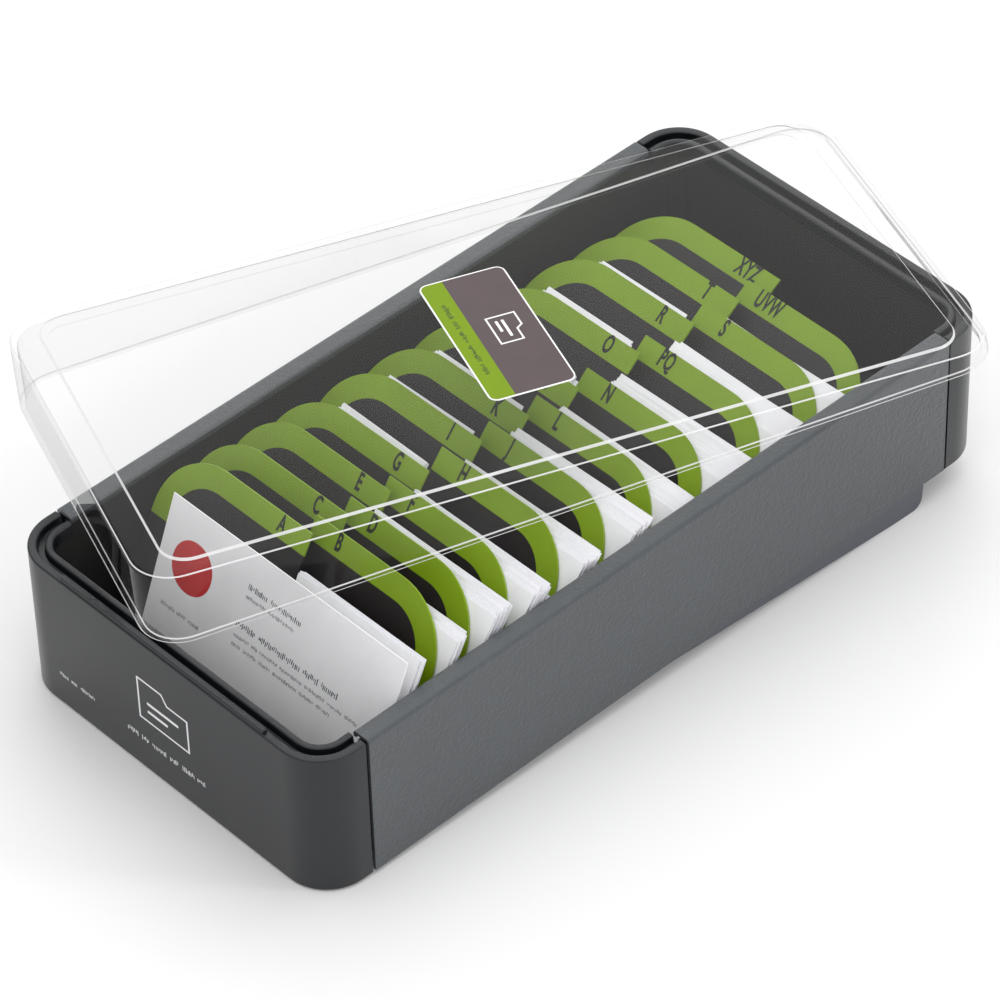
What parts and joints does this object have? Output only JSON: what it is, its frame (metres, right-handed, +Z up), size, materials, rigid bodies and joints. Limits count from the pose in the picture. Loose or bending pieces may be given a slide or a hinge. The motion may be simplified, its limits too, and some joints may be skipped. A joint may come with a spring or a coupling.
{
  "type": "desk card index box",
  "caption": "Sheet-sided desk box holding leaning A to Z index sheets and business cards, on a folding prop stand, with a clear wedge lid laid across the top.",
  "frame": {"origin": "on the desk, under the middle of the tray's length and width", "axes": "+Z up from the desk, +Y to the rear of the tray, +X to the right seen from the low front end"},
  "size_m": [0.191, 0.2599, 0.0868],
  "materials": {
    "panel": "wrinkled powder coat, satin",
    "cap": "smooth satin moulding",
    "liner": "smooth",
    "stand": "smooth",
    "pin": "turned",
    "index": "printed, lime green border on black",
    "card": "uncoated white",
    "lid": "clear, polished",
    "label": "printed sticker"
  },
  "bodies": {
    "base": {"inner_tray": "liner", "side_panel_left": "panel", "side_panel_right": "panel", "front_cap": "cap", "rear_cap": "cap", "stand_pivot_left": "pin", "stand_pivot_right": "pin"},
    "lid": {"lid": "lid", "lid_label": "label"},
    "stand": {"prop_stand": "stand"},
    "front_cards": {"front_card": "card", "card_pack_front": "card"},
    "index_a": {"index_sheet_a": "index"},
    "index_b": {"index_sheet_b": "index", "card_pack_b": "card"},
    "index_c": {"index_sheet_c": "index"},
    "index_d": {"index_sheet_d": "index", "card_pack_d": "card"},
    "index_e": {"index_sheet_e": "index"},
    "index_f": {"index_sheet_f": "index", "card_pack_f": "card"},
    "index_g": {"index_sheet_g": "index", "card_pack_g": "card"},
    "index_h": {"index_sheet_h": "index", "card_pack_h": "card"},
    "index_i": {"index_sheet_i": "index", "card_pack_i": "card"},
    "index_j": {"index_sheet_j": "index", "card_pack_j": "card"},
    "index_k": {"index_sheet_k": "index", "card_pack_k": "card"},
    "index_l": {"index_sheet_l": "index", "card_pack_l": "card"},
    "index_m": {"index_sheet_m": "index", "card_pack_m": "card"},
    "index_n": {"index_sheet_n": "index", "card_pack_n": "card"},
    "index_o": {"index_sheet_o": "index", "card_pack_o": "card"},
    "index_pq": {"index_sheet_pq": "index", "card_pack_pq": "card"},
    "index_r": {"index_sheet_r": "index", "card_pack_r": "card"},
    "index_s": {"index_sheet_s": "index", "card_pack_s": "card"},
    "index_t": {"index_sheet_t": "index"},
    "index_uvw": {"index_sheet_uvw": "index"},
    "index_xyz": {"index_sheet_xyz": "index"}
  },
  "joints": [
    {"name": "lid_lift", "type": "slide", "parent": "base", "child": "lid", "axis": [0, 0, 1], "range_m": [0, 0.08]},
    {"name": "stand_fold", "type": "hinge", "parent": "base", "child": "stand", "pos_m": [0, -0.02116, 0.00933], "axis": [1, 0, 0], "range_deg": [0, 4.9]},
    {"name": "leaf_front", "type": "hinge", "parent": "base", "child": "front_cards", "pos_m": [0, -0.10762, 0.00664], "axis": [1, 0, 0], "range_deg": [0, 8]},
    {"name": "leaf_a", "type": "hinge", "parent": "base", "child": "index_a", "pos_m": [0, -0.10253, 0.00684], "axis": [1, 0, 0], "range_deg": [0, 8]},
    {"name": "leaf_b", "type": "hinge", "parent": "base", "child": "index_b", "pos_m": [0, -0.09753, 0.00704], "axis": [1, 0, 0], "range_deg": [0, 8]},
    {"name": "leaf_c", "type": "hinge", "parent": "base", "child": "index_c", "pos_m": [0, -0.09253, 0.00723], "axis": [1, 0, 0], "range_deg": [0, 8]},
    {"name": "leaf_d", "type": "hinge", "parent": "base", "child": "index_d", "pos_m": [0, -0.08804, 0.00741], "axis": [1, 0, 0], "range_deg": [0, 8]},
    {"name": "leaf_e", "type": "hinge", "parent": "base", "child": "index_e", "pos_m": [0, -0.08004, 0.00772], "axis": [1, 0, 0], "range_deg": [0, 8]},
    {"name": "leaf_f", "type": "hinge", "parent": "base", "child": "index_f", "pos_m": [0, -0.07655, 0.00786], "axis": [1, 0, 0], "range_deg": [0, 8]},
    {"name": "leaf_g", "type": "hinge", "parent": "base", "child": "index_g", "pos_m": [0, -0.06855, 0.00817], "axis": [1, 0, 0], "range_deg": [0, 8]},
    {"name": "leaf_h", "type": "hinge", "parent": "base", "child": "index_h", "pos_m": [0, -0.06006, 0.00851], "axis": [1, 0, 0], "range_deg": [0, 8]},
    {"name": "leaf_i", "type": "hinge", "parent": "base", "child": "index_i", "pos_m": [0, -0.05156, 0.00884], "axis": [1, 0, 0], "range_deg": [0, 8]},
    {"name": "leaf_j", "type": "hinge", "parent": "base", "child": "index_j", "pos_m": [0, -0.04507, 0.0091], "axis": [1, 0, 0], "range_deg": [0, 8]},
    {"name": "leaf_k", "type": "hinge", "parent": "base", "child": "index_k", "pos_m": [0, -0.03658, 0.00943], "axis": [1, 0, 0], "range_deg": [0, 8]},
    {"name": "leaf_l", "type": "hinge", "parent": "base", "child": "index_l", "pos_m": [0, -0.02958, 0.0097], "axis": [1, 0, 0], "range_deg": [0, 8]},
    {"name": "leaf_m", "type": "hinge", "parent": "base", "child": "index_m", "pos_m": [0, -0.02009, 0.01008], "axis": [1, 0, 0], "range_deg": [0, 8]},
    {"name": "leaf_n", "type": "hinge", "parent": "base", "child": "index_n", "pos_m": [0, -0.01259, 0.01037], "axis": [1, 0, 0], "range_deg": [0, 8]},
    {"name": "leaf_o", "type": "hinge", "parent": "base", "child": "index_o", "pos_m": [0, 0.00139, 0.01092], "axis": [1, 0, 0], "range_deg": [0, 8]},
    {"name": "leaf_pq", "type": "hinge", "parent": "base", "child": "index_pq", "pos_m": [0, 0.00789, 0.01117], "axis": [1, 0, 0], "range_deg": [0, 8]},
    {"name": "leaf_r", "type": "hinge", "parent": "base", "child": "index_r", "pos_m": [0, 0.02038, 0.01166], "axis": [1, 0, 0], "range_deg": [0, 8]},
    {"name": "leaf_s", "type": "hinge", "parent": "base", "child": "index_s", "pos_m": [0, 0.02837, 0.01198], "axis": [1, 0, 0], "range_deg": [0, 8]},
    {"name": "leaf_t", "type": "hinge", "parent": "base", "child": "index_t", "pos_m": [0, 0.03637, 0.01229], "axis": [1, 0, 0], "range_deg": [0, 8]},
    {"name": "leaf_uvw", "type": "hinge", "parent": "base", "child": "index_uvw", "pos_m": [0, 0.04436, 0.0126], "axis": [1, 0, 0], "range_deg": [0, 8]},
    {"name": "leaf_xyz", "type": "hinge", "parent": "base", "child": "index_xyz", "pos_m": [0, 0.05086, 0.01286], "axis": [1, 0, 0], "range_deg": [0, 8]}
  ],
  "couplings": [
    {"joint": "leaf_a", "follows": "leaf_front", "ratio": 1},
    {"joint": "leaf_b", "follows": "leaf_front", "ratio": 1},
    {"joint": "leaf_c", "follows": "leaf_front", "ratio": 1},
    {"joint": "leaf_d", "follows": "leaf_front", "ratio": 1},
    {"joint": "leaf_e", "follows": "leaf_front", "ratio": 1},
    {"joint": "leaf_f", "follows": "leaf_front", "ratio": 1},
    {"joint": "leaf_g", "follows": "leaf_front", "ratio": 1},
    {"joint": "leaf_h", "follows": "leaf_front", "ratio": 1},
    {"joint": "leaf_i", "follows": "leaf_front", "ratio": 1},
    {"joint": "leaf_j", "follows": "leaf_front", "ratio": 1},
    {"joint": "leaf_k", "follows": "leaf_front", "ratio": 1},
    {"joint": "leaf_l", "follows": "leaf_front", "ratio": 1},
    {"joint": "leaf_m", "follows": "leaf_front", "ratio": 1},
    {"joint": "leaf_n", "follows": "leaf_front", "ratio": 1},
    {"joint": "leaf_o", "follows": "leaf_front", "ratio": 1},
    {"joint": "leaf_pq", "follows": "leaf_front", "ratio": 1},
    {"joint": "leaf_r", "follows": "leaf_front", "ratio": 1},
    {"joint": "leaf_s", "follows": "leaf_front", "ratio": 1},
    {"joint": "leaf_t", "follows": "leaf_front", "ratio": 1},
    {"joint": "leaf_uvw", "follows": "leaf_front", "ratio": 1},
    {"joint": "leaf_xyz", "follows": "leaf_front", "ratio": 1}
  ]
}
